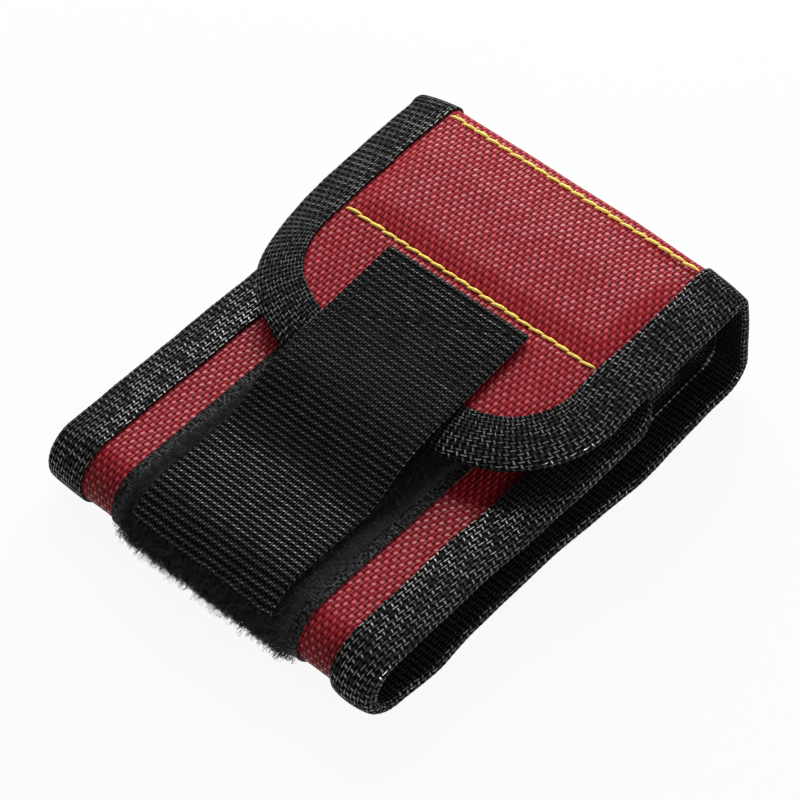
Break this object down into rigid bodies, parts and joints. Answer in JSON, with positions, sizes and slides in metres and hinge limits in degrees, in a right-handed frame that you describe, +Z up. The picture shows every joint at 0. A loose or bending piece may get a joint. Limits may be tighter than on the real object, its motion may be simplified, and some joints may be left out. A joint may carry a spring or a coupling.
{
  "type": "magnetic wristband",
  "caption": "Folded fabric wristband with bound edges, sewn pockets of disc magnets, a rounded tab and a hook strap that fastens on a loop tape.",
  "frame": {"origin": "middle of the closed band, on the surface that it lies on", "axes": "+X across the band, +Y along it from the near fold towards the far wall, +Z up"},
  "size_m": [0.09, 0.1216, 0.0325],
  "materials": {
    "red_shell": "glossy coarse plain weave",
    "lining": "fine dark lining cloth",
    "binding": "ribbed woven tape",
    "webbing": "ribbed hook tape",
    "loop_pile": "fuzzy loop pile",
    "yellow_thread": "shiny sewing thread",
    "black_thread": "shiny sewing thread",
    "foam": "soft foam sheet",
    "magnet": "nickel plate"
  },
  "bodies": {
    "band": {"shell_heel": "red_shell", "shell_base": "red_shell", "shell_near_fold": "red_shell", "binding_heel_left": "binding", "binding_heel_right": "binding", "binding_base_left": "binding", "binding_base_right": "binding", "binding_near_fold_left": "binding", "binding_near_fold_right": "binding", "lining_base": "lining", "carrier_base": "foam", "magnet_base_1": "magnet", "magnet_base_2": "magnet", "magnet_base_3": "magnet", "magnet_base_4": "magnet", "magnet_base_5": "magnet", "loop_tape_fold": "loop_pile", "stitch_row_3": "yellow_thread", "stitch_row_4": "yellow_thread"},
    "wall": {"shell_wall": "red_shell", "shell_shoulder": "red_shell", "binding_wall_left": "binding", "binding_wall_right": "binding", "binding_shoulder_left": "binding", "binding_shoulder_right": "binding", "lining_wall": "lining", "carrier_wall": "foam", "magnet_wall_1": "magnet", "magnet_wall_2": "magnet", "magnet_wall_3": "magnet", "magnet_wall_4": "magnet", "magnet_wall_5": "magnet", "stitch_row_1": "yellow_thread"},
    "flap": {"shell_flap": "red_shell", "binding_flap_left": "binding", "binding_flap_right": "binding", "lining_flap": "lining", "carrier_flap": "foam", "magnet_flap_1": "magnet", "magnet_flap_2": "magnet", "magnet_flap_3": "magnet", "magnet_flap_4": "magnet", "magnet_flap_5": "magnet", "stitch_row_2": "yellow_thread"},
    "tab": {"shell_tab": "red_shell", "lining_tab": "lining", "binding_tab": "binding", "strap_sewn": "webbing", "strap_box_stitch": "black_thread"},
    "strap": {"strap_free": "webbing"},
    "under": {"shell_under": "red_shell", "lining_under": "lining", "binding_under": "binding", "loop_tape_under": "loop_pile"}
  },
  "joints": [
    {"name": "wall_fold", "type": "hinge", "parent": "band", "child": "wall", "pos_m": [0, 0.06087, 0.00832], "axis": [-1, 0, 0], "range_deg": [0, 45]},
    {"name": "flap_fold", "type": "hinge", "parent": "wall", "child": "flap", "pos_m": [0, 0.05313, 0.03254], "axis": [-1, 0, 0], "range_deg": [0, 75]},
    {"name": "tab_fold", "type": "hinge", "parent": "flap", "child": "tab", "pos_m": [0, 0.01961, 0.03019], "axis": [-1, 0, 0], "range_deg": [0, 30]},
    {"name": "strap_peel", "type": "hinge", "parent": "tab", "child": "strap", "pos_m": [0, -0.00331, 0.02874], "axis": [-1, 0, 0], "range_deg": [0, 100]},
    {"name": "loop_end_fold", "type": "hinge", "parent": "band", "child": "under", "pos_m": [0, -0.0513, 0.0183], "axis": [1, 0, 0], "range_deg": [0, 30]}
  ],
  "couplings": [
    {"joint": "loop_end_fold", "follows": "flap_fold", "ratio": 0.4}
  ]
}
